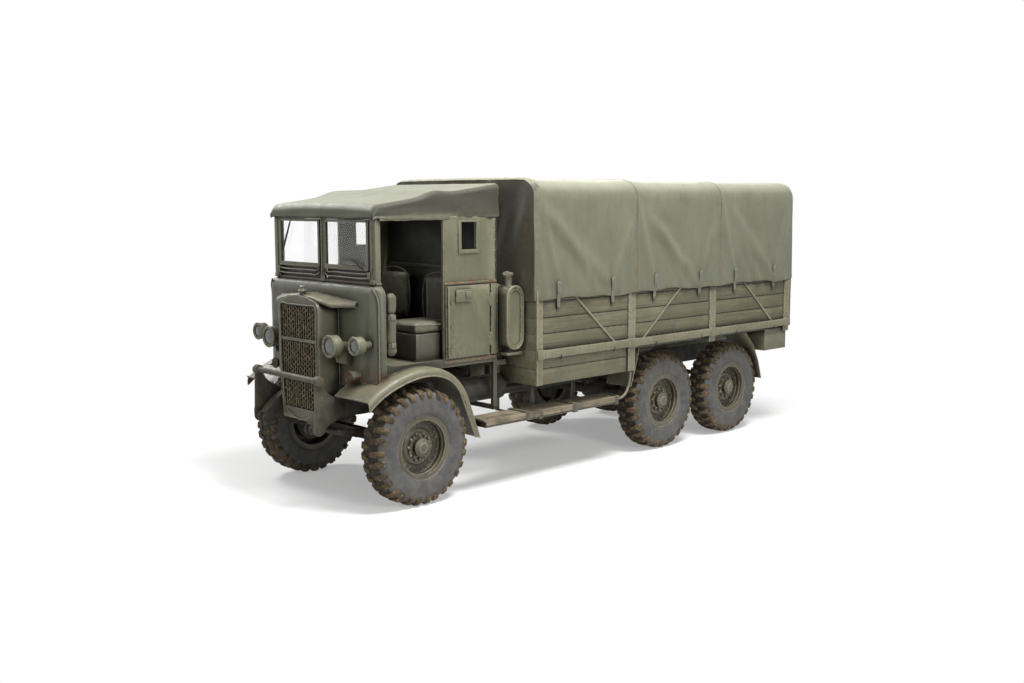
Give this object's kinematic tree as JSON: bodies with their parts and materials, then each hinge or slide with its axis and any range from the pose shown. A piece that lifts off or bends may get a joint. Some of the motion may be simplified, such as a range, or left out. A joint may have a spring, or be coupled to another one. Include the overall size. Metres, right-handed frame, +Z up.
{
  "type": "six-wheeled military cargo truck",
  "caption": "Forward-control military lorry with an open canvas-roofed cab, a boarded cargo body under a canvas tilt, steered front wheels and a drop tailboard.",
  "frame": {"origin": "on the ground, at the middle of the overall box seen from above", "axes": "+X to the truck's left, +Y towards its tail, +Z up"},
  "size_m": [2.2986, 6.7072, 2.9516],
  "materials": {
    "board_wood": "dry worn planks",
    "body_paint": "matt olive paint, dusty and worn",
    "canvas": "weathered heavy canvas",
    "cast_iron": "dull oily iron",
    "chassis_paint": "dark matt paint, dusty",
    "clear_glass": "clear flat glass",
    "lamp_glass": "grey domed glass",
    "radiator_core": "dull dark core",
    "rusty_steel": "heat-rusted steel",
    "seat_hide": "worn dark hide",
    "spring_steel": "dark painted steel",
    "strap_metal": "faded webbing",
    "tyre_rubber": "worn rubber with dried mud",
    "wheel_paint": "matt olive paint under dried mud",
    "wheel_rim_black": "black hard rubber"
  },
  "bodies": {
    "truck": {"bogie_springs": "spring_steel", "bonnet": "body_paint", "cab_back": "body_paint", "cab_floor": "body_paint", "cab_front": "body_paint", "cab_hood": "canvas", "cab_sides": "body_paint", "cargo_floor": "body_paint", "cargo_front_board": "body_paint", "cargo_sides": "body_paint", "cross_members": "chassis_paint", "engine": "cast_iron", "engine_cover": "body_paint", "frame_rails": "chassis_paint", "front_axle": "chassis_paint", "front_bumper": "body_paint", "front_mudguards": "body_paint", "front_springs": "spring_steel", "fuel_tank": "body_paint", "lamp_lenses": "lamp_glass", "lamps": "body_paint", "propeller_shafts": "chassis_paint", "radiator_core": "radiator_core", "radiator_shell": "body_paint", "rear_axles": "chassis_paint", "rear_lockers": "body_paint", "rear_mudguards": "body_paint", "rolled_curtains": "canvas", "running_boards": "board_wood", "seat_boxes": "body_paint", "seats": "seat_hide", "silencer": "rusty_steel", "steering_column": "chassis_paint", "tilt_cover": "canvas", "tilt_hoops": "body_paint", "tilt_straps": "strap_metal", "windscreen_frame": "body_paint", "windscreen_glass": "clear_glass"},
    "front_left_knuckle": {"steering_knuckle_left": "chassis_paint"},
    "front_right_knuckle": {"steering_knuckle_right": "chassis_paint"},
    "front_left_wheel": {"tyre_front_left": "tyre_rubber", "wheel_front_left": "wheel_paint"},
    "front_right_wheel": {"tyre_front_right": "tyre_rubber", "wheel_front_right": "wheel_paint"},
    "middle_left_wheel": {"tyre_middle_left": "tyre_rubber", "wheel_middle_left": "wheel_paint"},
    "middle_right_wheel": {"tyre_middle_right": "tyre_rubber", "wheel_middle_right": "wheel_paint"},
    "rear_left_wheel": {"tyre_rear_left": "tyre_rubber", "wheel_rear_left": "wheel_paint"},
    "rear_right_wheel": {"tyre_rear_right": "tyre_rubber", "wheel_rear_right": "wheel_paint"},
    "steering_wheel": {"steering_wheel": "wheel_rim_black"},
    "track_rod": {"track_rod": "chassis_paint"},
    "tailboard": {"tailboard": "body_paint"},
    "left_locker_door": {"locker_door_left": "body_paint"},
    "right_locker_door": {"locker_door_right": "body_paint"}
  },
  "joints": [
    {"name": "steer_left", "type": "hinge", "parent": "truck", "child": "front_left_knuckle", "pos_m": [0.69, -2.517, 0.535], "axis": [0, 0, 1], "range_deg": [-28, 28]},
    {"name": "steer_right", "type": "hinge", "parent": "truck", "child": "front_right_knuckle", "pos_m": [-0.69, -2.517, 0.535], "axis": [0, 0, 1], "range_deg": [-28, 28]},
    {"name": "track_rod_pivot", "type": "hinge", "parent": "front_left_knuckle", "child": "track_rod", "pos_m": [0.69, -2.327, 0.41], "axis": [0, 0, 1], "range_deg": [-28, 28]},
    {"name": "steering_wheel_turn", "type": "hinge", "parent": "truck", "child": "steering_wheel", "pos_m": [-0.42, -2.732, 1.33], "axis": [0, 0.4067, 0.9135], "range_deg": [-336, 336]},
    {"name": "front_left_spin", "type": "hinge", "parent": "front_left_knuckle", "child": "front_left_wheel", "pos_m": [0.87, -2.517, 0.535], "axis": [1, 0, 0], "continuous": true},
    {"name": "front_right_spin", "type": "hinge", "parent": "front_right_knuckle", "child": "front_right_wheel", "pos_m": [-0.87, -2.517, 0.535], "axis": [1, 0, 0], "continuous": true},
    {"name": "middle_left_spin", "type": "hinge", "parent": "truck", "child": "middle_left_wheel", "pos_m": [0.87, 0.913, 0.535], "axis": [1, 0, 0], "continuous": true},
    {"name": "middle_right_spin", "type": "hinge", "parent": "truck", "child": "middle_right_wheel", "pos_m": [-0.87, 0.913, 0.535], "axis": [1, 0, 0], "continuous": true},
    {"name": "rear_left_spin", "type": "hinge", "parent": "truck", "child": "rear_left_wheel", "pos_m": [0.87, 2.173, 0.535], "axis": [1, 0, 0], "continuous": true},
    {"name": "rear_right_spin", "type": "hinge", "parent": "truck", "child": "rear_right_wheel", "pos_m": [-0.87, 2.173, 0.535], "axis": [1, 0, 0], "continuous": true},
    {"name": "tailboard_hinge", "type": "hinge", "parent": "truck", "child": "tailboard", "pos_m": [0, 3.2037, 1.19], "axis": [-1, 0, 0], "range_deg": [0, 90]},
    {"name": "left_locker_hinge", "type": "hinge", "parent": "truck", "child": "left_locker_door", "pos_m": [0.8424, -1.572, 1.63], "axis": [0, 0, 1], "range_deg": [0, 85]},
    {"name": "right_locker_hinge", "type": "hinge", "parent": "truck", "child": "right_locker_door", "pos_m": [-0.8424, -1.572, 1.63], "axis": [0, 0, -1], "range_deg": [0, 85]}
  ],
  "couplings": [
    {"joint": "steer_right", "follows": "steer_left", "ratio": 1},
    {"joint": "track_rod_pivot", "follows": "steer_left", "ratio": -1},
    {"joint": "steering_wheel_turn", "follows": "steer_left", "ratio": 12}
  ]
}
